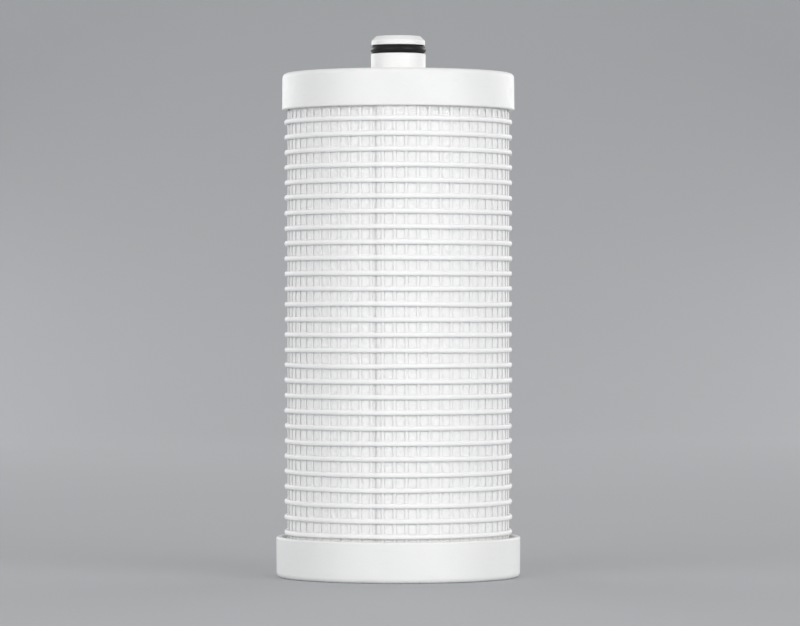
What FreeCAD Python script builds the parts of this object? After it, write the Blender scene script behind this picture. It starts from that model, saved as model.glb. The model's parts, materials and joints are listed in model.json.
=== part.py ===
"""Drop-in refrigerator water filter cartridge, one solid per physical piece, in millimetres.

Z is the axis of the cartridge. The bottom cap stands on z = 0 and the outlet nozzle points up.
The front, where the fleece wrap has its seam, faces -Y.
Water enters through the net and the fleece, crosses the carbon block and leaves by the nozzle.
"""

import FreeCAD
import Part
import math
import os

# Carbon block, with the porous liner of its bore
block_diameter = 42.3
block_length = 94.6
block_bore_diameter = 12.0
liner_thickness = 0.6

# Fleece sheet wrapped once round the block, its ends lapped at the seam
wrap_thickness = 0.35
lap_width = 7.0
seam_angle = -100.9  # degrees from +X, so the free edge shows left of the front

# Net sleeve: rings welded on upright strands that hold them off the fleece
ring_pitch = 3.0
ring_height = 1.0
ring_depth = 0.5
strand_count = 3
strand_width = 0.7
sides_per_strand = 6  # a ring runs straight on this many sides from strand to strand

# Bottom cap: a closed cup with a boss that centres the block
base_floor = 2.4
base_skirt_height = 5.6
base_skirt_wall = 1.2
base_edge_chamfer = 0.8
boss_height = 4.6

# Top cap: a disc with a skirt, a spigot in the bore and the nozzle above
disc_thickness = 2.6
top_skirt_height = 4.7
top_skirt_wall = 1.0
top_edge_chamfer = 0.8
spigot_length = 4.5

# Nozzle and its seal
neck_diameter = 10.8
neck_length = 3.9
lip_height = 1.8
lip_inset = 0.1  # the lip is this much smaller than the neck in radius
lip_chamfer = 0.9
outlet_diameter = 5.2
outlet_chamfer = 0.4
o_ring_inside_diameter = 8.0
o_ring_section = 1.5
o_ring_flats = 8  # flats that stand for the round section

# Clearances between neighbours
wrap_clearance = 0.05
liner_clearance = 0.05
fitting_clearance = 0.1  # spigot and boss in the lined bore
net_clearance = 0.1
skirt_clearance = 0.1
net_end_clearance = 0.15
groove_floor_clearance = 0.02
groove_side_clearance = 0.1

# Radii, from the block outwards
block_radius = block_diameter / 2
wrap_inner_radius = block_radius + wrap_clearance
wrap_outer_radius = wrap_inner_radius + wrap_thickness
lap_radius = wrap_outer_radius + wrap_thickness
strand_inner = wrap_outer_radius + net_clearance
ring_inner = lap_radius + net_clearance
ring_outer = ring_inner + ring_depth
net_sides = strand_count * sides_per_strand
corner_factor = 1 / math.cos(math.pi / net_sides)  # from a side's distance to its corners'
base_skirt_inner_radius = ring_outer * corner_factor + skirt_clearance
base_radius = base_skirt_inner_radius + base_skirt_wall
top_skirt_inner_radius = lap_radius + skirt_clearance
top_radius = top_skirt_inner_radius + top_skirt_wall

# Radii, from the block's bore inwards
liner_outer_radius = block_bore_diameter / 2 - liner_clearance
liner_inner_radius = liner_outer_radius - liner_thickness
fitting_radius = liner_inner_radius - fitting_clearance
outlet_radius = outlet_diameter / 2
neck_radius = neck_diameter / 2
lip_radius = neck_radius - lip_inset
groove_radius = o_ring_inside_diameter / 2 - groove_floor_clearance

# Heights, from the base upwards
block_bottom = base_floor
block_top = block_bottom + block_length
disc_bottom = block_top
disc_top = disc_bottom + disc_thickness
base_rim = base_floor + base_skirt_height
boss_top = base_floor + boss_height
top_skirt_edge = disc_bottom - top_skirt_height
spigot_end = disc_bottom - spigot_length
net_bottom = base_floor
net_top = top_skirt_edge - net_end_clearance
groove_bottom = disc_top + neck_length
groove_top = groove_bottom + o_ring_section + 2 * groove_side_clearance
nozzle_top = groove_top + lip_height

# The strands stand evenly round the net, with the seam midway between two of them
strand_angles = [seam_angle + (index + 0.5) * 360 / strand_count for index in range(strand_count)]

axis_foot = FreeCAD.Vector(0, 0, 0)
axis = FreeCAD.Vector(0, 0, 1)


def turned(corners):
    """Solid turned about Z from a closed outline of (radius, height) corners."""
    points = [FreeCAD.Vector(radius, 0, height) for radius, height in corners]
    outline = Part.makePolygon(points + points[:1])
    return Part.Face(outline).revolve(axis_foot, axis, 360)


def tube(outer_radius, inner_radius, bottom, top):
    return turned(
        [
            (inner_radius, bottom),
            (outer_radius, bottom),
            (outer_radius, top),
            (inner_radius, top),
        ]
    )


def polar(radius, degrees, height):
    angle = math.radians(degrees)
    return FreeCAD.Vector(radius * math.cos(angle), radius * math.sin(angle), height)


def carbon_block():
    return tube(block_radius, block_bore_diameter / 2, block_bottom, block_top)


def core_liner():
    return tube(liner_outer_radius, liner_inner_radius, block_bottom, block_top)


def fleece_wrap():
    """The lap stands one thickness proud from its free edge, then runs off along a tangent."""
    lap_end = seam_angle + math.degrees(lap_width / lap_radius)
    landing = lap_end + math.degrees(math.acos(wrap_outer_radius / lap_radius))
    edge_low = polar(wrap_outer_radius, seam_angle, block_bottom)
    edge_high = polar(lap_radius, seam_angle, block_bottom)
    crest = polar(lap_radius, (seam_angle + lap_end) / 2, block_bottom)
    lap_last = polar(lap_radius, lap_end, block_bottom)
    landed = polar(wrap_outer_radius, landing, block_bottom)
    far_side = polar(wrap_outer_radius, (landing + seam_angle + 360) / 2, block_bottom)
    outline = Part.Wire(
        [
            Part.makeLine(edge_low, edge_high),
            Part.Arc(edge_high, crest, lap_last).toShape(),
            Part.makeLine(lap_last, landed),
            Part.Arc(landed, far_side, edge_low).toShape(),
        ]
    )
    sheet = Part.Face(outline).extrude(axis * block_length)
    hollow = Part.makeCylinder(wrap_inner_radius, block_length, axis * block_bottom)
    return sheet.cut(hollow)


def net_ring(bottom):
    """One ring of straight sides: a flat back on the strands and a ridge outside."""
    levels = [
        (ring_inner, bottom),
        (ring_outer, bottom + ring_height / 2),
        (ring_inner, bottom + ring_height),
    ]
    side_angle = 360 / net_sides
    faces = []
    for side in range(net_sides):
        first = strand_angles[0] + (side - 0.5) * side_angle
        last = first + side_angle
        for index, (low_distance, low) in enumerate(levels):
            high_distance, high = levels[(index + 1) % len(levels)]
            low_radius = low_distance * corner_factor
            high_radius = high_distance * corner_factor
            corners = [
                polar(low_radius, first, low),
                polar(low_radius, last, low),
                polar(high_radius, last, high),
                polar(high_radius, first, high),
            ]
            faces.append(Part.Face(Part.makePolygon(corners + corners[:1])))
    return Part.Solid(Part.Shell(faces))


def net_strand(angle):
    strand = Part.makeBox(ring_inner - strand_inner, strand_width, net_top - net_bottom)
    strand.translate(FreeCAD.Vector(strand_inner, -strand_width / 2, net_bottom))
    strand.rotate(axis_foot, axis, angle)
    return strand


def outer_net():
    ring_count = math.floor((net_top - net_bottom - ring_height) / ring_pitch) + 1
    first_ring = net_ring(net_bottom)
    rings = [first_ring.translated(axis * (index * ring_pitch)) for index in range(ring_count)]
    strands = [net_strand(angle) for angle in strand_angles]
    return strands[0].multiFuse(strands[1:] + rings).Solids[0]


def bottom_end_cap():
    return turned(
        [
            (0, 0),
            (base_radius - base_edge_chamfer, 0),
            (base_radius, base_edge_chamfer),
            (base_radius, base_rim),
            (base_skirt_inner_radius, base_rim),
            (base_skirt_inner_radius, base_floor),
            (fitting_radius, base_floor),
            (fitting_radius, boss_top),
            (0, boss_top),
        ]
    )


def top_end_cap():
    return turned(
        [
            (outlet_radius, spigot_end),
            (fitting_radius, spigot_end),
            (fitting_radius, disc_bottom),
            (top_skirt_inner_radius, disc_bottom),
            (top_skirt_inner_radius, top_skirt_edge),
            (top_radius, top_skirt_edge),
            (top_radius, disc_top - top_edge_chamfer),
            (top_radius - top_edge_chamfer, disc_top),
            (neck_radius, disc_top),
            (neck_radius, groove_bottom),
            (groove_radius, groove_bottom),
            (groove_radius, groove_top),
            (lip_radius, groove_top),
            (lip_radius, nozzle_top - lip_chamfer),
            (lip_radius - lip_chamfer, nozzle_top),
            (outlet_radius + outlet_chamfer, nozzle_top),
            (outlet_radius, nozzle_top - outlet_chamfer),
        ]
    )


def nozzle_o_ring():
    """The section is as wide over its flats as the round one, with a flat on the groove's floor."""
    ring_radius = (o_ring_inside_diameter + o_ring_section) / 2
    middle = (groove_bottom + groove_top) / 2
    corner_reach = o_ring_section / 2 / math.cos(math.pi / o_ring_flats)
    corners = []
    for index in range(o_ring_flats):
        turn = 2 * math.pi * (index + 0.5) / o_ring_flats
        corners.append((ring_radius + corner_reach * math.cos(turn), middle + corner_reach * math.sin(turn)))
    return turned(corners)


pieces = {
    "bottom_end_cap": bottom_end_cap(),
    "carbon_block": carbon_block(),
    "core_liner": core_liner(),
    "fleece_wrap": fleece_wrap(),
    "outer_net": outer_net(),
    "top_end_cap": top_end_cap(),
    "nozzle_o_ring": nozzle_o_ring(),
}

os.makedirs("parts", exist_ok=True)
for name, shape in pieces.items():
    shape.exportStep(f"parts/{name}.step")
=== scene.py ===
"""Looks of the refrigerator water filter cartridge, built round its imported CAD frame.

The cartridge stands on z = 0 with its nozzle up and its front to -Y. Blender works in metres.
Sizes of the cartridge are in millimetres here, and the mesh helpers scale them. The stage, the
lamps and the camera are in metres.
"""

import json
import math

import bpy
import numpy as np
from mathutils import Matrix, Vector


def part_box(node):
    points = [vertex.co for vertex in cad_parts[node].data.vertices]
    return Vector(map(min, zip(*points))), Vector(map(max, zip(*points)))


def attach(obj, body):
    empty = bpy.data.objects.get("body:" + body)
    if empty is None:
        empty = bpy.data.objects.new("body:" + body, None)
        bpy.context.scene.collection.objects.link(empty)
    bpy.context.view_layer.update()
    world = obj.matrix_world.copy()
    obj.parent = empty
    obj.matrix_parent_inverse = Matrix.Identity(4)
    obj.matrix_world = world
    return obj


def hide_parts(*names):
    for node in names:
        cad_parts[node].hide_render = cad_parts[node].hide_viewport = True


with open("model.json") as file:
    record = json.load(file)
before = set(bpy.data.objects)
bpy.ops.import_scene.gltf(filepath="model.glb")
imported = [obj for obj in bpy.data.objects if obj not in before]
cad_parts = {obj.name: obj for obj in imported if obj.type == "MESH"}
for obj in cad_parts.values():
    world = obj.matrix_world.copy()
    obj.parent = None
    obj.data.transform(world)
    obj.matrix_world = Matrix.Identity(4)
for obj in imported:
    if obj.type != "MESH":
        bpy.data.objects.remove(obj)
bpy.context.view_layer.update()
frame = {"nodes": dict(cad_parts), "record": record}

MM = 0.001
FULL_TURN = 2 * math.pi
SEED = 7
rng = np.random.default_rng(SEED)

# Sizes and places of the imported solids, from their boxes and mounts


def box_mm(node):
    """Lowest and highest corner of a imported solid, to a thousandth of a millimetre."""
    return [np.round(np.array(corner) / MM, 3).tolist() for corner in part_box(node)]


def mount_mm(name):
    """Radius, lower end and upper end of a round mount on the axis."""
    mount = next(mount for mount in frame["record"]["mounts"] if mount["name"] == name)
    middle = mount["pos_m"][2] / MM
    half_length = mount["dims"]["length_mm"] / 2
    return mount["dims"]["r_mm"], round(middle - half_length, 3), round(middle + half_length, 3)


block_low, block_high = box_mm("carbon_block")
top_low, top_high = box_mm("top_end_cap")
seal_low, seal_high = box_mm("nozzle_o_ring")
base_high = box_mm("bottom_end_cap")[1]
liner_high = box_mm("core_liner")[1]
net_high = box_mm("outer_net")[1]

BLOCK_RADIUS = block_high[0]
BLOCK_BOTTOM = block_low[2]
BLOCK_TOP = block_high[2]
NET_TOP = net_high[2]
TOP_RADIUS = top_high[0]
TOP_SKIRT_EDGE = top_low[2]
NOZZLE_TOP = top_high[2]
BASE_RADIUS = base_high[0]
BASE_RIM = base_high[2]
SEAL_SECTION = (seal_high[2] - seal_low[2]) / 2  # radius of the round section
SEAL_HEIGHT = (seal_high[2] + seal_low[2]) / 2
SEAL_RADIUS = seal_high[0] - SEAL_SECTION
NECK_RADIUS, DISC_TOP, GROOVE_BOTTOM = mount_mm("nozzle")
OUTLET_RADIUS, SPIGOT_END = mount_mm("outlet")[:2]

# Sizes that the solids have and no box or mount tells

SEAM_ANGLE = -100.9  # degrees from +X, so the free edge of the fleece shows left of the front
LAP_WIDTH = 7.0
WRAP_THICKNESS = 0.35
WRAP_CLEARANCE = 0.05
RING_PITCH = 3.0
LINER_WALL = 0.6
FITTING_CLEARANCE = 0.1
TOP_SKIRT_WALL = 1.0
BASE_SKIRT_WALL = 1.2
BOSS_HEIGHT = 4.6
LIP_INSET = 0.1
LIP_CHAMFER = 0.9
GROOVE_CLEARANCE = 0.02

FITTING_RADIUS = liner_high[0] - LINER_WALL - FITTING_CLEARANCE
TOP_SKIRT_INSIDE = TOP_RADIUS - TOP_SKIRT_WALL
BASE_SKIRT_INSIDE = BASE_RADIUS - BASE_SKIRT_WALL
BOSS_TOP = BLOCK_BOTTOM + BOSS_HEIGHT
GROOVE_RADIUS = SEAL_RADIUS - SEAL_SECTION - GROOVE_CLEARANCE
GROOVE_TOP = 2 * SEAL_HEIGHT - GROOVE_BOTTOM
LIP_RADIUS = NECK_RADIUS - LIP_INSET
WRAP_INSIDE = BLOCK_RADIUS + WRAP_CLEARANCE
WRAP_OUTSIDE = WRAP_INSIDE + WRAP_THICKNESS
LAP_OUTSIDE = WRAP_OUTSIDE + WRAP_THICKNESS
LAP_END_ANGLE = round(SEAM_ANGLE + math.degrees(LAP_WIDTH / LAP_OUTSIDE), 1)
LANDING_ANGLE = round(LAP_END_ANGLE + math.degrees(math.acos(WRAP_OUTSIDE / LAP_OUTSIDE)), 1)

# Rises and noise


def smooth_step(value, low, high):
    """0 up to low and 1 from high on, with a smooth rise between."""
    share = np.clip((np.asarray(value, float) - low) / (high - low), 0, 1)
    return share * share * (3 - 2 * share)


def soft_noise(positions, period, waves):
    """Smooth periodic noise of about unit size, from a few waves with drawn sizes and phases."""
    positions = np.asarray(positions, float)
    total = np.zeros_like(positions)
    for wave in range(1, waves + 1):
        size = rng.normal(0, 1 / math.sqrt(waves))
        phase = rng.uniform(0, FULL_TURN)
        total = total + size * np.sin(FULL_TURN * wave * positions / period + phase)
    return total


# Mesh helpers


def grid_faces(rows, columns, first=0, close_rows=False, close_columns=False):
    """Quads of a grid of points that is stored row by row from index first."""
    row = np.arange(rows if close_rows else rows - 1)
    column = np.arange(columns if close_columns else columns - 1)
    row, column = (axis.ravel() for axis in np.meshgrid(row, column, indexing="ij"))
    next_row = (row + 1) % rows
    next_column = (column + 1) % columns
    corners = (
        row * columns + column,
        row * columns + next_column,
        next_row * columns + next_column,
        next_row * columns + column,
    )
    return (np.stack(corners, 1) + first).tolist()


def signed_volume(points, faces):
    """Volume inside closed faces, negative if they are turned inwards.

    Faces of more than four corners are left out, which are only the small ends of the net's strands.
    """
    total = 0.0
    for size in (3, 4):
        ring = np.array([face for face in faces if len(face) == size], int).reshape(-1, size)
        for last in range(2, size):
            a, b, c = points[ring[:, 0]], points[ring[:, last - 1]], points[ring[:, last]]
            total += np.einsum("ij,ij->i", a, np.cross(b, c)).sum() / 6
    return total


def solid_piece(name, points, faces, material, sharp_degrees=40):
    """Object of a closed mesh, its faces turned outwards, smooth except at sharp edges."""
    points = np.asarray(points, float)
    if signed_volume(points, faces) < 0:
        faces = [face[::-1] for face in faces]
    mesh = bpy.data.meshes.new(name)
    mesh.from_pydata((points * MM).tolist(), [], faces)
    mesh.update()
    mesh.shade_smooth()
    mesh.set_sharp_from_angle(angle=math.radians(sharp_degrees))
    mesh.materials.append(material)
    piece = bpy.data.objects.new(name, mesh)
    bpy.context.scene.collection.objects.link(piece)
    return piece


def place(piece, node):
    """Lets a piece ride on the body in place of its solid."""
    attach(piece, "root")
    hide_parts(node)


def point_values(piece, name, values):
    """Stores one number per point for a material to read."""
    attribute = piece.data.attributes.new(name, "FLOAT", "POINT")
    attribute.data.foreach_set("value", np.asarray(values, np.float32))


def round_corner(before, here, after, bend, steps):
    """Points of the arc that rounds a corner by bend, from the run before it to the run after it."""
    before = (before - here) / np.linalg.norm(before - here)
    after = (after - here) / np.linalg.norm(after - here)
    half = math.acos(np.clip(before @ after, -1, 1)) / 2
    bisector = (before + after) / np.linalg.norm(before + after)
    centre = here + bisector * bend / math.sin(half)
    start = here + before * bend / math.tan(half) - centre
    end = here + after * bend / math.tan(half) - centre
    sweep = math.atan2(start[0] * end[1] - start[1] * end[0], start @ end)
    arc = []
    for step in range(steps + 1):
        turn = sweep * step / steps
        cosine, sine = math.cos(turn), math.sin(turn)
        spoke = (start[0] * cosine - start[1] * sine, start[0] * sine + start[1] * cosine)
        arc.append(centre + np.array(spoke))
    return arc


def rounded_outline(corners, closed, arc_steps=7, support=0.12):
    """Points of a (radius, height) outline whose corners, given with a third value, are rounded by it.

    Each long straight run gets a point close to either end, so that it stays flat when shaded smooth.
    The second result marks the points that lie on a rounded corner.
    """
    places = [np.array(corner[:2]) for corner in corners]
    points = []
    on_arc = []
    for index, here in enumerate(places):
        bend = corners[index][2]
        at_end = not closed and index in (0, len(corners) - 1)
        if bend == 0 or at_end:
            points.append(here)
            on_arc.append(0.0)
            continue
        after = places[(index + 1) % len(places)]
        points += round_corner(places[index - 1], here, after, bend, arc_steps)
        on_arc += [math.sin(math.pi * step / arc_steps) for step in range(arc_steps + 1)]
    long_run = 4 * support
    full_points = []
    full_marks = []
    for index, point in enumerate(points):
        full_points.append(point)
        full_marks.append(on_arc[index])
        if index + 1 == len(points) and not closed:
            break
        run = points[(index + 1) % len(points)] - point
        length = np.linalg.norm(run)
        if length > long_run:
            full_points.append(point + run * support / length)
            full_points.append(point + run * (1 - support / length))
            full_marks += [0.0, 0.0]
    return np.array(full_points), np.array(full_marks)


def turned_piece(name, corners, material, segments=256, on_axis=False):
    """Solid of revolution from (radius, height, round) corners; on_axis if both ends lie on the axis."""
    outline, marks = rounded_outline(corners, closed=not on_axis)
    turns = FULL_TURN * np.arange(segments) / segments
    inner = outline[1:-1] if on_axis else outline
    radius, height = inner[:, 0][:, None], inner[:, 1][:, None]
    points = np.stack(
        (
            radius * np.cos(turns),
            radius * np.sin(turns),
            np.broadcast_to(height, (len(inner), segments)),
        ),
        2,
    ).reshape(-1, 3)
    faces = grid_faces(len(inner), segments, close_rows=not on_axis, close_columns=True)
    values = np.repeat(marks[1:-1] if on_axis else marks, segments)
    if on_axis:
        poles = [(0, 0, outline[0, 1]), (0, 0, outline[-1, 1])]
        low_pole = len(points)
        high_pole = low_pole + 1
        last_row = (len(inner) - 1) * segments
        for column in range(segments):
            following = (column + 1) % segments
            faces.append([low_pole, following, column])
            faces.append([high_pole, last_row + column, last_row + following])
        points = np.vstack((points, poles))
        values = np.concatenate((values, (0.0, 0.0)))
    piece = solid_piece(name, points, faces, material)
    point_values(piece, "edge_wear", values)
    return piece


# Material helpers


class Recipe:
    """A node material under construction. A socket gets a value, or a link from another socket."""

    def __init__(self, name):
        self.material = bpy.data.materials.new(name)
        self.material.use_nodes = True
        self.tree = self.material.node_tree
        self.shader = self.tree.nodes["Principled BSDF"]

    def feed(self, socket, value):
        if isinstance(value, bpy.types.NodeSocket):
            self.tree.links.new(value, socket)
        else:
            socket.default_value = value

    def add(self, kind, output=0, settings=None, **sockets):
        """New node with its sockets fed by name, an underscore for a space; returns one output."""
        node = self.tree.nodes.new("ShaderNode" + kind)
        for key, value in (settings or {}).items():
            setattr(node, key, value)
        for key, value in sockets.items():
            self.feed(node.inputs[key.replace("_", " ")], value)
        return node.outputs[output]

    def shade(self, **sockets):
        for key, value in sockets.items():
            self.feed(self.shader.inputs[key.replace("_", " ")], value)

    def object_place(self):
        return self.add("TexCoord", output="Object")

    def point_value(self, name):
        return self.add("Attribute", output="Fac", settings={"attribute_name": name})

    def noise(self, vector, scale, detail=2.0, roughness=0.5):
        return self.add("TexNoise", Vector=vector, Scale=scale, Detail=detail, Roughness=roughness)

    def stretched(self, vector, scale, turn_degrees=0.0):
        """Vector with its axes turned about Z first and scaled after, so that the stretch turns too."""
        turn = (0, 0, math.radians(turn_degrees))
        turned = self.add("Mapping", Vector=vector, Rotation=turn) if turn_degrees else vector
        return self.add("Mapping", Vector=turned, Scale=scale)

    def spread(self, value, source, result=(0.0, 1.0)):
        """Value carried from one range to another, held at the ends."""
        return self.add(
            "MapRange",
            Value=value,
            From_Min=source[0],
            From_Max=source[1],
            To_Min=result[0],
            To_Max=result[1],
        )

    def math(self, operation, first, second):
        node = self.tree.nodes.new("ShaderNodeMath")
        node.operation = operation
        self.feed(node.inputs[0], first)
        self.feed(node.inputs[1], second)
        return node.outputs[0]

    def scaled(self, value, factor):
        return self.math("MULTIPLY", value, factor)

    def blend(self, share, low, high):
        """Colour from low to high by share; low and high are colours or sockets."""
        node = self.tree.nodes.new("ShaderNodeMix")
        node.data_type = "RGBA"
        self.feed(node.inputs["Factor"], share)
        colour_sockets = [socket for socket in node.inputs if socket.type == "RGBA"]
        for socket, value in zip(colour_sockets, (low, high)):
            self.feed(socket, (*value, 1) if isinstance(value, tuple) else value)
        return next(socket for socket in node.outputs if socket.type == "RGBA")

    def relief(self, height, depth, under=None):
        """Bump of that depth in metres, laid over another bump if one is given."""
        sockets = {"Height": height, "Distance": depth, "Strength": 1.0}
        if under is not None:
            sockets["Normal"] = under
        return self.add("Bump", **sockets)


# Materials. Noise scales count per metre of the object, or per millimetre on the fleece

MIDDLE_NOISE = (0.3, 0.7)  # the range that most of a noise texture lies in


def moulded_plastic():
    """White moulded polypropylene: satin skin with a fine grain, slight sink and rubbed edges."""
    dull = (0.785, 0.785, 0.78)
    clean = (0.82, 0.818, 0.81)
    scuffed = (0.72, 0.72, 0.71)
    polished = (0.86, 0.86, 0.85)
    recipe = Recipe("moulded_plastic")
    spot = recipe.object_place()
    cloud = recipe.noise(spot, 60, detail=3)
    grain = recipe.noise(spot, 2600)
    scuff = recipe.noise(recipe.stretched(spot, (240, 240, 1500)), 1, detail=3, roughness=0.6)
    scuff = recipe.spread(scuff, (0.6, 0.78))
    patches = recipe.spread(recipe.noise(spot, 500), (0.35, 0.65), (0.1, 1))
    rubbed = recipe.scaled(recipe.point_value("edge_wear"), patches)
    colour = recipe.blend(recipe.spread(cloud, MIDDLE_NOISE), dull, clean)
    colour = recipe.blend(recipe.scaled(scuff, 0.35), colour, scuffed)
    colour = recipe.blend(recipe.scaled(rubbed, 0.5), colour, polished)
    roughness = recipe.spread(recipe.noise(spot, 900, detail=4), MIDDLE_NOISE, (0.4, 0.55))
    roughness = recipe.math("ADD", roughness, recipe.scaled(rubbed, 0.12))
    sink = recipe.relief(cloud, 0.04 * MM)
    recipe.shade(
        Base_Color=colour,
        Roughness=roughness,
        Normal=recipe.relief(grain, 0.02 * MM, sink),
        IOR=1.49,
        Subsurface_Weight=0.08,
        Subsurface_Radius=(1.0, 1.0, 0.9),
        Subsurface_Scale=MM,
    )
    return recipe.material


def net_plastic():
    """Extruded polyethylene: milky and waxy, with fine die lines and paler welds."""
    milky = (0.85, 0.85, 0.846)
    pale = (0.885, 0.885, 0.88)
    welded = (0.9, 0.9, 0.895)
    recipe = Recipe("net_plastic")
    spot = recipe.object_place()
    cloud = recipe.noise(spot, 220, detail=3)
    die_lines = recipe.noise(recipe.stretched(spot, (260, 260, 5200)), 1)
    colour = recipe.blend(recipe.spread(cloud, MIDDLE_NOISE), milky, pale)
    colour = recipe.blend(recipe.scaled(recipe.point_value("weld"), 0.6), colour, welded)
    recipe.shade(
        Base_Color=colour,
        Roughness=recipe.spread(recipe.noise(spot, 1300, detail=3), MIDDLE_NOISE, (0.5, 0.66)),
        Normal=recipe.relief(die_lines, 0.02 * MM),
        IOR=1.51,
        Specular_IOR_Level=0.25,
        Subsurface_Weight=0.35,
        Subsurface_Radius=(1.0, 1.0, 0.95),
        Subsurface_Scale=0.8 * MM,
    )
    return recipe.material


def fleece(name, coordinates, unit):
    """Nonwoven fleece: matted fibres, rows of point bonds, and painted shade along the cut edge.

    The texture coordinates are multiplied by unit to be in millimetres.
    """
    between_fibres = (0.925, 0.922, 0.916)
    on_fibres = (0.965, 0.962, 0.957)
    bonded = (0.91, 0.907, 0.9)
    seam_shade_grey = (0.66, 0.65, 0.63)
    fibre_lays = ((12, 6.5), (68, 7.0), (-40, 7.5), (-78, 6.0))  # direction in degrees and fineness
    along_fibre = 0.6
    bonds_per_mm = 0.62
    recipe = Recipe(name)
    flat = recipe.stretched(recipe.add("TexCoord", output=coordinates), (unit, unit, unit))
    fibres = None
    for turn, fineness in fibre_lays:
        streak = recipe.noise(recipe.stretched(flat, (along_fibre, fineness, fineness), turn), 1)
        streak = recipe.spread(streak, (0.42, 0.72))
        fibres = streak if fibres is None else recipe.math("MAXIMUM", fibres, streak)
    cloud = recipe.noise(flat, 0.22, detail=4, roughness=0.6)
    bonds = recipe.add(
        "TexVoronoi",
        output="Distance",
        Vector=recipe.stretched(flat, (bonds_per_mm, bonds_per_mm, bonds_per_mm), 45),
        Scale=1.0,
        Randomness=0.0,
    )
    bonds = recipe.spread(bonds, (0.2, 0.3), (1, 0))
    tone = recipe.spread(cloud, MIDDLE_NOISE, (0.6, 1))
    tone = recipe.scaled(tone, recipe.spread(fibres, (0, 1), (0.45, 1)))
    colour = recipe.blend(tone, between_fibres, on_fibres)
    colour = recipe.blend(recipe.scaled(bonds, 0.5), colour, bonded)
    # painted shade: the cut edge is greyed to stand for the shade of the step at the seam
    colour = recipe.blend(recipe.scaled(recipe.point_value("cut_edge_shade"), 0.5), colour, seam_shade_grey)
    pressed = recipe.relief(recipe.math("SUBTRACT", 1.0, bonds), 0.05 * MM)
    recipe.shade(
        Base_Color=colour,
        Roughness=recipe.spread(fibres, (0, 1), (0.95, 0.8)),
        Normal=recipe.relief(fibres, 0.05 * MM, pressed),
        IOR=1.49,
        Specular_IOR_Level=0.3,
        Sheen_Weight=0.15,
        Sheen_Roughness=0.5,
        Subsurface_Weight=0.4,
        Subsurface_Radius=(1.0, 1.0, 1.0),
        Subsurface_Scale=MM,
    )
    return recipe.material


def seal_rubber():
    """Black moulded rubber with a thin uneven film of grease."""
    dry = (0.006, 0.006, 0.0065)
    greased = (0.013, 0.013, 0.0135)
    film_range = (0.35, 0.65)
    recipe = Recipe("seal_rubber")
    spot = recipe.object_place()
    film = recipe.noise(spot, 420, detail=3)
    recipe.shade(
        Base_Color=recipe.blend(recipe.spread(film, film_range), dry, greased),
        Roughness=recipe.spread(film, film_range, (0.46, 0.3)),
        Normal=recipe.relief(recipe.noise(spot, 3200), 0.008 * MM),
        IOR=1.52,
        Specular_IOR_Level=0.2,
    )
    return recipe.material


def bonded_carbon():
    """Sintered carbon: pressed black grains with a few bright facets, and open pores painted darker as
    their shade.
    """
    black = (0.016, 0.016, 0.017)
    bright = (0.07, 0.07, 0.074)
    pore_shade = (0.006, 0.006, 0.006)
    grains_per_metre = 1900.0
    recipe = Recipe("bonded_carbon")
    spot = recipe.object_place()
    grains = recipe.add("TexVoronoi", output="Distance", Vector=spot, Scale=grains_per_metre)
    tint = recipe.add("TexVoronoi", output="Color", Vector=spot, Scale=grains_per_metre)
    tint = recipe.add("RGBToBW", Color=tint)
    between_pores = recipe.spread(recipe.noise(spot, 700, detail=4, roughness=0.65), (0.36, 0.5))
    colour = recipe.blend(recipe.math("POWER", tint, 3.0), black, bright)
    # painted shade: the pores get a darker colour for the shade inside them
    colour = recipe.blend(between_pores, pore_shade, colour)
    lumps = recipe.scaled(recipe.spread(grains, (0, 0.6), (1, 0)), between_pores)
    recipe.shade(
        Base_Color=colour,
        Roughness=recipe.spread(tint, (0, 1), (0.95, 0.45)),
        Normal=recipe.relief(lumps, 0.15 * MM),
        Specular_IOR_Level=0.35,
    )
    return recipe.material


def hot_melt():
    """Set hot-melt glue: waxy, slightly yellow and smooth, with faint ripples."""
    deep = (0.78, 0.765, 0.72)
    thin = (0.85, 0.84, 0.80)
    recipe = Recipe("hot_melt")
    spot = recipe.object_place()
    cloud = recipe.noise(spot, 260, detail=3)
    ripple = recipe.noise(spot, 700, detail=1)
    recipe.shade(
        Base_Color=recipe.blend(recipe.spread(cloud, MIDDLE_NOISE), deep, thin),
        Roughness=recipe.spread(cloud, MIDDLE_NOISE, (0.28, 0.42)),
        Normal=recipe.relief(ripple, 0.05 * MM),
        IOR=1.48,
        Subsurface_Weight=0.3,
        Subsurface_Radius=(1.0, 0.95, 0.8),
        Subsurface_Scale=MM,
    )
    return recipe.material


def stage_paper():
    """Plain matt grey paper with a faint cloud."""
    grey = (0.46, 0.47, 0.485)
    paler = (0.49, 0.5, 0.515)
    recipe = Recipe("stage_paper")
    spot = recipe.object_place()
    recipe.shade(
        Base_Color=recipe.blend(recipe.noise(spot, 3, detail=3), grey, paler),
        Roughness=recipe.spread(recipe.noise(spot, 40), (0, 1), (0.9, 1.0)),
        Specular_IOR_Level=0.1,
    )
    return recipe.material


plastic = moulded_plastic()
net_material = net_plastic()
wrap_material = fleece("fleece", "UV", 1.0)
liner_material = fleece("liner_fleece", "Object", 1 / MM)
rubber = seal_rubber()
carbon = bonded_carbon()
glue = hot_melt()

# End caps. Each corner is a radius, a height and the round that the mould gives it

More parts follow.
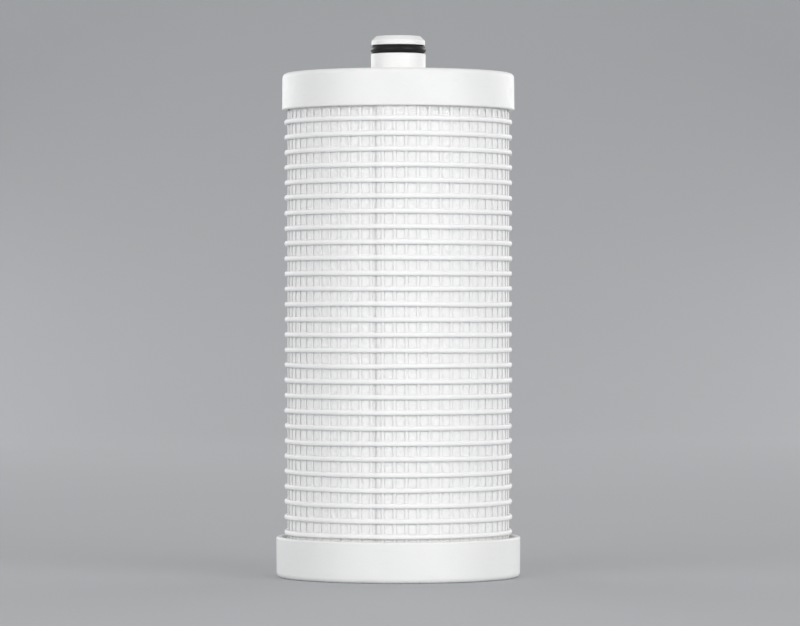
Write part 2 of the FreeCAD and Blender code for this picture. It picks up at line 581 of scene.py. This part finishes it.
TOP_DRAFT = 0.06
TOP_CAP = [
    (OUTLET_RADIUS, SPIGOT_END, 0.2),
    (FITTING_RADIUS, SPIGOT_END, 0.4),
    (FITTING_RADIUS, BLOCK_TOP, 0.15),
    (TOP_SKIRT_INSIDE, BLOCK_TOP, 0.3),
    (TOP_SKIRT_INSIDE, TOP_SKIRT_EDGE, 0.15),
    (TOP_RADIUS, TOP_SKIRT_EDGE, 0.3),
    (TOP_RADIUS - TOP_DRAFT, DISC_TOP, 0.9),
    (NECK_RADIUS, DISC_TOP, 0.45),
    (NECK_RADIUS, GROOVE_BOTTOM, 0.12),
    (GROOVE_RADIUS, GROOVE_BOTTOM, 0.1),
    (GROOVE_RADIUS, GROOVE_TOP, 0.1),
    (LIP_RADIUS, GROOVE_TOP, 0.12),
    (LIP_RADIUS, NOZZLE_TOP - LIP_CHAMFER, 0.3),
    (LIP_RADIUS - LIP_CHAMFER, NOZZLE_TOP, 0.3),
    (OUTLET_RADIUS, NOZZLE_TOP, 0.35),
]
place(turned_piece("top_cap", TOP_CAP, plastic), "top_end_cap")

# The middle of the underside has the dimple and the cut stub of the moulding gate
STUB_RADIUS = 0.55
STUB_FOOT_RADIUS = 0.6
STUB_END = 0.15
DIMPLE_HEIGHT = 0.4
DIMPLE_RADIUS = 1.7
DIMPLE_MOUTH_RADIUS = 2.1
BASE_DRAFT = 0.045
BOX_MARGIN = 0.002  # keeps the turned cap inside the box of its solid
RIM_RADIUS = BASE_RADIUS - BOX_MARGIN
BOTTOM_CAP = [
    (0, STUB_END, 0),
    (STUB_RADIUS, STUB_END, 0.12),
    (STUB_FOOT_RADIUS, DIMPLE_HEIGHT, 0.08),
    (DIMPLE_RADIUS, DIMPLE_HEIGHT, 0.2),
    (DIMPLE_MOUTH_RADIUS, 0, 0.25),
    (RIM_RADIUS - BASE_DRAFT, 0, 0.95),
    (RIM_RADIUS, BASE_RIM, 0.35),
    (BASE_SKIRT_INSIDE, BASE_RIM, 0.25),
    (BASE_SKIRT_INSIDE, BLOCK_BOTTOM, 0.3),
    (FITTING_RADIUS, BLOCK_BOTTOM, 0.2),
    (FITTING_RADIUS, BOSS_TOP, 0.5),
    (0, BOSS_TOP, 0),
]
bottom_cap = turned_piece("bottom_cap", BOTTOM_CAP, plastic, on_axis=True)
place(bottom_cap, "bottom_end_cap")

# Seal, with the thin line that its mould leaves round the outside

MOULD_LINE_HEIGHT = 0.025
MOULD_LINE_SPREAD = 0.12  # radians of the section
SEAL_POINTS = 40
SEAL_SEGMENTS = 224


def seal_ring():
    """Round rubber ring, its section drawn point by point."""
    corners = []
    for index in range(SEAL_POINTS):
        turn = FULL_TURN * index / SEAL_POINTS
        from_outside = min(turn, FULL_TURN - turn)
        mould_line = MOULD_LINE_HEIGHT * math.exp(-((from_outside / MOULD_LINE_SPREAD) ** 2))
        reach = SEAL_SECTION + mould_line
        corners.append((SEAL_RADIUS + reach * math.cos(turn), SEAL_HEIGHT + reach * math.sin(turn), 0))
    return turned_piece("seal_ring", corners, rubber, segments=SEAL_SEGMENTS)


place(seal_ring(), "nozzle_o_ring")

# Layers of the body: the fleece swells up to the strands, and the rings are welded outside them

FLEECE_THICKNESS = 0.33  # where it is pressed
LAYER_CLEARANCE = 0.01  # between the two layers at the lap
SWELL = 0.2  # how far the fleece swells past its pressed thickness, up to the strands
PUFF = 0.12  # and how much further in the windows of the net
STRAND_CLEARANCE = 0.015
STRAND_HALF_DEPTH = 0.115
STRAND_HALF_WIDTH = 0.27
RING_HALF_DEPTH = 0.32
RING_HALF_HEIGHT = 0.5
WELD_BITE = 0.065  # how deep a ring sinks into the strands

SWOLLEN_RADIUS = WRAP_INSIDE + FLEECE_THICKNESS + SWELL
STRAND_RADIUS = SWOLLEN_RADIUS + STRAND_CLEARANCE + STRAND_HALF_DEPTH
RING_RADIUS = STRAND_RADIUS + STRAND_HALF_DEPTH - WELD_BITE + RING_HALF_DEPTH
FIRST_RING = BLOCK_BOTTOM + RING_HALF_HEIGHT
RING_COUNT = math.floor((NET_TOP - BLOCK_BOTTOM - 2 * RING_HALF_HEIGHT) / RING_PITCH) + 1
STRAND_COUNT = 60
STRAND_SPACING = 360 / STRAND_COUNT  # degrees, with the seam midway between two strands

# Net sleeve, lifted a little where the fleece laps under it

LAP_LIFT = 0.16
LIFT_EDGE = 3.0  # degrees over which the net rises at the free edge of the fleece
RING_COLUMNS = 5 * STRAND_COUNT
RING_POINTS = 8  # round the section of a ring
RING_STRAY = 0.05  # up and down along a ring
RING_UNEVENNESS = 0.02  # of its size, from ring to ring and along each
RING_PLAY = 0.015  # in radius, from ring to ring
WELD_FLATTENING = 0.05  # share that a ring loses in depth on a strand
WELD_WIDENING = 0.08  # share that it gains in height there
WELD_RISE = 0.03  # how far a ring rides up on a strand
WELD_FOCUS = 4  # power that gathers the paler colour of a weld at the strand
STRAND_POINTS = 6  # round the section of a strand
STRAND_STEP = RING_PITCH / 2
STRAND_TRIM = 0.4  # the strands are cut unevenly at the top
LAST_STEP = 0.3  # least height of the last step of a strand
WELD_REACH = 0.55  # up and down a strand from the middle of a ring
STRAND_WIDENING = 0.3  # share that a strand gains in width under a ring
STRAND_UNEVENNESS = 0.03  # of its width, from strand to strand
STRAND_SWAY = 0.0015  # radians
SWAY_PERIOD = 120.0
NET_CREASE_DEGREES = 60  # edges of the net up to this angle are shaded smooth


def lap_height(degrees):
    """0 off the lap and 1 on it: a short rise at the free edge and a long run-off on the other side."""
    turn = (np.asarray(degrees, float) - SEAM_ANGLE + 180) % 360 - 180 + SEAM_ANGLE
    rise = smooth_step(turn, SEAM_ANGLE - LIFT_EDGE / 2, SEAM_ANGLE + LIFT_EDGE / 2)
    return rise * (1 - smooth_step(turn, LAP_END_ANGLE, LANDING_ANGLE))


def on_strands(degrees):
    """1 at the middle of each strand and 0 midway between two."""
    return 0.5 - 0.5 * np.cos(FULL_TURN * (degrees - SEAM_ANGLE) / STRAND_SPACING)


def section_turns(count):
    """Angles of the points round the section of a wire."""
    return FULL_TURN * (np.arange(count) + 0.5) / count


def net_ring(index, first):
    """Points, faces and weld values of one ring, its points counted from index first."""
    degrees = SEAM_ANGLE + np.arange(RING_COLUMNS) * 360 / RING_COLUMNS
    turns = np.radians(degrees)[:, None]
    section = section_turns(RING_POINTS)
    crossing = on_strands(degrees)
    stray = RING_STRAY * soft_noise(degrees, 360, waves=4)
    size = 1 + rng.normal(0, RING_UNEVENNESS)
    size = size + RING_UNEVENNESS * soft_noise(degrees, 360, waves=9)
    depth = RING_HALF_DEPTH * size * (1 - WELD_FLATTENING * crossing)
    height = RING_HALF_HEIGHT * size * (1 + WELD_WIDENING * crossing)
    middle = FIRST_RING + RING_PITCH * index + stray + WELD_RISE * crossing
    radius = RING_RADIUS + LAP_LIFT * lap_height(degrees) + RING_PLAY * rng.normal()
    reach = (radius + np.outer(np.cos(section), depth)).T
    level = (middle + np.outer(np.sin(section), height)).T
    points = np.stack((reach * np.cos(turns), reach * np.sin(turns), level), 2).reshape(-1, 3)
    faces = grid_faces(RING_COLUMNS, RING_POINTS, first, close_rows=True, close_columns=True)
    return points, faces, np.repeat(crossing**WELD_FOCUS, RING_POINTS)


def net_strand(angle, first):
    """Points, faces and weld values of one strand, its points counted from index first."""
    section = section_turns(STRAND_POINTS)
    top = NET_TOP - rng.uniform(0, STRAND_TRIM)
    steps = np.arange(FIRST_RING, top - LAST_STEP, STRAND_STEP)
    levels = np.concatenate(([BLOCK_BOTTOM], steps, [top]))
    from_ring = (levels - FIRST_RING + RING_PITCH / 2) % RING_PITCH - RING_PITCH / 2
    weld = np.exp(-((from_ring / WELD_REACH) ** 2))
    turns = (np.radians(angle) + STRAND_SWAY * soft_noise(levels, SWAY_PERIOD, waves=5))[:, None]
    size = 1 + STRAND_UNEVENNESS * rng.normal()
    width = STRAND_HALF_WIDTH * size * (1 + STRAND_WIDENING * weld)
    reach = STRAND_RADIUS + LAP_LIFT * lap_height(angle) + STRAND_HALF_DEPTH * np.cos(section)
    across = np.outer(width, np.sin(section))
    x = reach * np.cos(turns) - across * np.sin(turns)
    y = reach * np.sin(turns) + across * np.cos(turns)
    z = np.broadcast_to(levels[:, None], x.shape)
    faces = grid_faces(len(levels), STRAND_POINTS, first, close_columns=True)
    last_row = first + (len(levels) - 1) * STRAND_POINTS
    faces.append(list(range(first, first + STRAND_POINTS))[::-1])
    faces.append(list(range(last_row, last_row + STRAND_POINTS)))
    return np.stack((x, y, z), 2).reshape(-1, 3), faces, np.repeat(weld, STRAND_POINTS)


def net_sleeve():
    """All rings and strands in one piece, with the seam midway between two strands."""
    wires = [(net_ring, index) for index in range(RING_COUNT)]
    wires += [(net_strand, SEAM_ANGLE + (index + 0.5) * STRAND_SPACING) for index in range(STRAND_COUNT)]
    points = []
    faces = []
    welds = []
    first = 0
    for make, where in wires:
        wire_points, wire_faces, wire_welds = make(where, first)
        points.append(wire_points)
        faces += wire_faces
        welds.append(wire_welds)
        first += len(wire_points)
    piece = solid_piece("net_sleeve", np.vstack(points), faces, net_material, NET_CREASE_DEGREES)
    point_values(piece, "weld", np.concatenate(welds))
    return piece


place(net_sleeve(), "outer_net")

# Fleece: one sheet wrapped a little more than once round the block, its free edge outside

# Angles on the sheet are in degrees from its free edge
WRAP_DEGREES = 360 + LAP_END_ANGLE - SEAM_ANGLE
COLUMN_STEP = STRAND_SPACING / 4
FREE_EDGE_ZONE = 5 * COLUMN_STEP  # where the columns stand closer
FREE_EDGE_COLUMNS = 20
DIVE_ZONE = (356.5, 362)  # where the sheet goes under its lap and the columns stand closest
DIVE_STEP = 0.3
DIVE = (358.2, 359.8)  # where its swelling ends
FREE_EDGE = 3.0  # how far along the sheet its end stands off
RAGGEDNESS = 0.15  # of the cut end
CUT_SHADE_FADE = (0.5, 1.6)  # where the painted shade along the cut end fades out

# Steps up the sheet, and what stands off or swells
FLEECE_ROWS = 127
FREE_EDGE_LIFT = 0.07
LIFT_UNEVENNESS = 0.02
NET_END_ALLOWANCE = 0.2  # the swelling ends this far under the top of the net
NET_END_FADE = 2.0
PUFF_UNDER_RINGS = 0.25  # share of the puff that is left under a ring


def sheet_border(rows, columns):
    """Indices round the border of a grid of points, in order."""
    border = list(range(columns))
    border += [row * columns + columns - 1 for row in range(1, rows)]
    border += [(rows - 1) * columns + column for column in range(columns - 2, -1, -1)]
    border += [row * columns for row in range(rows - 2, 0, -1)]
    return border


def unroll(piece, along, levels):
    """Texture coordinates of a sheet of two layers, laid flat, in millimetres."""
    flat = np.stack(np.broadcast_arrays(along[None, :], levels[:, None]), 2).reshape(-1, 2)
    flat = np.vstack((flat, flat))
    corners = np.zeros(len(piece.data.loops), int)
    piece.data.loops.foreach_get("vertex_index", corners)
    layer = piece.data.uv_layers.new(name="flat_mm")
    layer.data.foreach_set("uv", flat[corners].astype(np.float32).ravel())


def fleece_sheet():
    """Sheet with an outer and an inner layer of points, joined round its border."""
    along = np.concatenate(
        (
            np.linspace(0, FREE_EDGE_ZONE, FREE_EDGE_COLUMNS, endpoint=False),
            np.arange(FREE_EDGE_ZONE, DIVE_ZONE[0], COLUMN_STEP),
            np.arange(*DIVE_ZONE, DIVE_STEP),
            np.arange(DIVE_ZONE[1], WRAP_DEGREES, COLUMN_STEP),
            [WRAP_DEGREES],
        )
    )
    degrees = SEAM_ANGLE + along
    levels = np.linspace(BLOCK_BOTTOM, BLOCK_TOP, FLEECE_ROWS)
    on_lap = 1 - smooth_step(degrees, LAP_END_ANGLE, LANDING_ANGLE)
    under_lap = smooth_step(along, *DIVE)
    near_edge = 1 - smooth_step(along, 0, FREE_EDGE)
    ragged = RAGGEDNESS * soft_noise(levels, BLOCK_TOP, waves=30)
    lifted = FREE_EDGE_LIFT + LIFT_UNEVENNESS * soft_noise(levels, BLOCK_TOP, waves=12)
    under_net = smooth_step(NET_TOP - NET_END_ALLOWANCE - levels, 0, NET_END_FADE)
    past_rings = 0.5 - 0.5 * np.cos(FULL_TURN * (levels - FIRST_RING) / RING_PITCH)
    past_rings = PUFF_UNDER_RINGS + (1 - PUFF_UNDER_RINGS) * past_rings
    puff = PUFF * np.outer(past_rings, 1 - on_strands(degrees))
    swell = under_net[:, None] * (1 - under_lap) * (SWELL * (1 - on_lap) + puff)
    inside = WRAP_INSIDE + (FLEECE_THICKNESS + LAYER_CLEARANCE) * on_lap + np.outer(lifted, near_edge)
    outside = inside + FLEECE_THICKNESS + swell
    turns = np.radians(degrees + np.outer(ragged, near_edge))
    heights = np.broadcast_to(levels[:, None], turns.shape)
    points = []
    for reach in (outside, inside):
        layer = np.stack((reach * np.cos(turns), reach * np.sin(turns), heights), 2)
        points.append(layer.reshape(-1, 3))
    rows, columns = turns.shape
    inner = rows * columns
    outer_faces = grid_faces(rows, columns)
    faces = outer_faces + [[corner + inner for corner in face[::-1]] for face in outer_faces]
    border = sheet_border(rows, columns)
    for here, there in zip(border, border[1:] + border[:1]):
        faces.append([there, here, here + inner, there + inner])
    piece = solid_piece("fleece_sheet", np.vstack(points), faces, wrap_material)
    # marks the free edge for painted shade, the shade of the step where the lap begins
    point_values(piece, "cut_edge_shade", np.tile(1 - smooth_step(along, *CUT_SHADE_FADE), 2 * rows))
    unroll(piece, np.radians(along) * (WRAP_INSIDE + FLEECE_THICKNESS / 2), levels)
    return piece


wrap = fleece_sheet()
place(wrap, "fleece_wrap")

# Glue that fills the cup of the bottom cap round the foot of the net, with a meniscus at either side

GLUE_OFF_WRAP = 0.07
GLUE_OFF_SKIRT = 0.007
GLUE_UNDER_RIM = 1.3
GLUE_UNEVENNESS = 0.14
GLUE_CLIMB = 0.35  # how far it climbs at either side
CLIMB_UNEVENNESS = 0.1
GLUE_INNER_LIP = 0.1  # width of the flat edge at the foot of the net
GLUE_POINTS = 11  # across the bead
GLUE_SEGMENTS = 288
MENISCUS_POWER = 2.5

GLUE_INSIDE = WRAP_OUTSIDE + GLUE_OFF_WRAP
GLUE_OUTSIDE = BASE_SKIRT_INSIDE - GLUE_OFF_SKIRT
GLUE_LEVEL = BASE_RIM - GLUE_UNDER_RIM


def glue_bead():
    """Ring of glue from the floor of the cup up to a hollow, uneven surface."""
    turns = FULL_TURN * np.arange(GLUE_SEGMENTS) / GLUE_SEGMENTS
    level = GLUE_LEVEL + GLUE_UNEVENNESS * soft_noise(turns, FULL_TURN, waves=9)
    climb = GLUE_CLIMB + CLIMB_UNEVENNESS * soft_noise(turns, FULL_TURN, waves=17)
    share = np.linspace(0, 1, GLUE_POINTS)
    reach = GLUE_OUTSIDE + (GLUE_INSIDE + GLUE_INNER_LIP - GLUE_OUTSIDE) * share
    meniscus = np.abs(2 * share - 1) ** MENISCUS_POWER
    radii = np.concatenate(([GLUE_INSIDE, GLUE_OUTSIDE], reach, [GLUE_INSIDE]))
    floor = np.full((2, GLUE_SEGMENTS), BLOCK_BOTTOM)
    heights = np.vstack((floor, level + np.outer(meniscus, climb), level + climb))
    points = np.stack((np.outer(radii, np.cos(turns)), np.outer(radii, np.sin(turns)), heights), 2)
    faces = grid_faces(len(radii), GLUE_SEGMENTS, close_rows=True, close_columns=True)
    return solid_piece("glue_bead", points.reshape(-1, 3), faces, glue)


bead = glue_bead()
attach(bead, "root")

# Inner nodes keep their solids and get materials

for node_name, material in (("carbon_block", carbon), ("core_liner", liner_material)):
    node = frame["nodes"][node_name]
    if not node.material_slots:
        node.data.materials.append(material)
    for material_slot in node.material_slots:
        material_slot.material = material

# Stage: a plain pale floor that runs up into a low wall all round

STAGE_FLOOR = 0.95
STAGE_COVE = 0.6
STAGE_RIM = 0.62
COVE_STEPS = 24
STAGE_SEGMENTS = 128


def build_stage():
    """Floor turned about the axis, its profile drawn from the middle outwards."""
    profile = [(STAGE_FLOOR / 2, 0.0)]
    for step in range(COVE_STEPS + 1):
        turn = math.pi / 2 * step / COVE_STEPS
        profile.append((STAGE_FLOOR + STAGE_COVE * math.sin(turn), STAGE_COVE * (1 - math.cos(turn))))
    profile.append((STAGE_FLOOR + STAGE_COVE, STAGE_RIM))
    turns = FULL_TURN * np.arange(STAGE_SEGMENTS) / STAGE_SEGMENTS
    points = [(0.0, 0.0, 0.0)]
    for radius, height in profile:
        points += [(radius * math.cos(turn), radius * math.sin(turn), height) for turn in turns]
    columns = range(STAGE_SEGMENTS)
    faces = [[0, 1 + column, 1 + (column + 1) % STAGE_SEGMENTS] for column in columns]
    cove_faces = grid_faces(len(profile), STAGE_SEGMENTS, first=1, close_columns=True)
    faces += [face[::-1] for face in cove_faces]
    mesh = bpy.data.meshes.new("stage")
    mesh.from_pydata(points, [], faces)
    mesh.update()
    mesh.shade_smooth()
    mesh.materials.append(stage_paper())
    stage = bpy.data.objects.new("stage", mesh)
    bpy.context.scene.collection.objects.link(stage)


build_stage()

# Light: a bright even room, a soft key from the right, a weaker fill from the left and two lamps behind

LIT_POINT = (0.0, 0.0, 0.055)
LAMP_DISTANCE = 1.15
LAMP_ELEVATION = 10
LAMP_WIDTH = 1.1
LAMP_HEIGHT = 0.48
LAMPS = (  # name, degrees from the camera's side to the right, and power in watts
    ("key", 42, 6.8),
    ("fill", -38, 5.4),
    ("back_right", 138, 3.4),
    ("back_left", -138, 3.6),
)
ROOM_AT_HORIZON = 0.83
ROOM_OVERHEAD = 0.46


def soft_light(name, azimuth, power):
    """Wide low lamp that faces the lit point."""
    turn, rise = math.radians(azimuth), math.radians(LAMP_ELEVATION)
    lamp = bpy.data.lights.new(name, "AREA")
    lamp.shape = "ELLIPSE"
    lamp.size = LAMP_WIDTH
    lamp.size_y = LAMP_HEIGHT
    lamp.energy = power
    holder = bpy.data.objects.new(name, lamp)
    holder.location = (
        LIT_POINT[0] + LAMP_DISTANCE * math.cos(rise) * math.sin(turn),
        LIT_POINT[1] - LAMP_DISTANCE * math.cos(rise) * math.cos(turn),
        LIT_POINT[2] + LAMP_DISTANCE * math.sin(rise),
    )
    holder.rotation_euler = (math.pi / 2 - rise, 0, turn)
    holder.visible_camera = False
    bpy.context.scene.collection.objects.link(holder)


def room_light():
    """White surroundings that dim from the horizon to straight overhead, as a light tent does."""
    world = bpy.data.worlds.new("room")
    world.use_nodes = True
    nodes, links = world.node_tree.nodes, world.node_tree.links
    direction = nodes.new("ShaderNodeTexCoord")
    split = nodes.new("ShaderNodeSeparateXYZ")
    strength = nodes.new("ShaderNodeMapRange")
    strength.inputs["To Min"].default_value = ROOM_AT_HORIZON
    strength.inputs["To Max"].default_value = ROOM_OVERHEAD
    background = nodes["Background"]
    background.inputs["Color"].default_value = (1, 1, 1, 1)
    links.new(direction.outputs["Generated"], split.inputs[0])
    links.new(split.outputs["Z"], strength.inputs["Value"])
    links.new(strength.outputs["Result"], background.inputs["Strength"])
    bpy.context.scene.world = world


for lamp_name, lamp_azimuth, lamp_power in LAMPS:
    soft_light(lamp_name, lamp_azimuth, lamp_power)
room_light()

# Camera: square on, at the distance that the curve of the cap edges gives

CAMERA_DISTANCE = 0.85
CAMERA_SIDE = 0.00034
CAMERA_HEIGHT = 0.0522
LENS_MM = 193.0
SENSOR_MM = 36.0

camera_data = bpy.data.cameras.new("camera")
camera_data.sensor_width = SENSOR_MM
camera_data.lens = LENS_MM
camera = bpy.data.objects.new("camera", camera_data)
camera.location = (CAMERA_SIDE, -CAMERA_DISTANCE, CAMERA_HEIGHT)
camera.rotation_euler = (math.pi / 2, 0, 0)
bpy.context.scene.collection.objects.link(camera)
bpy.context.scene.camera = camera

bpy.context.scene.view_settings.view_transform = "Standard"
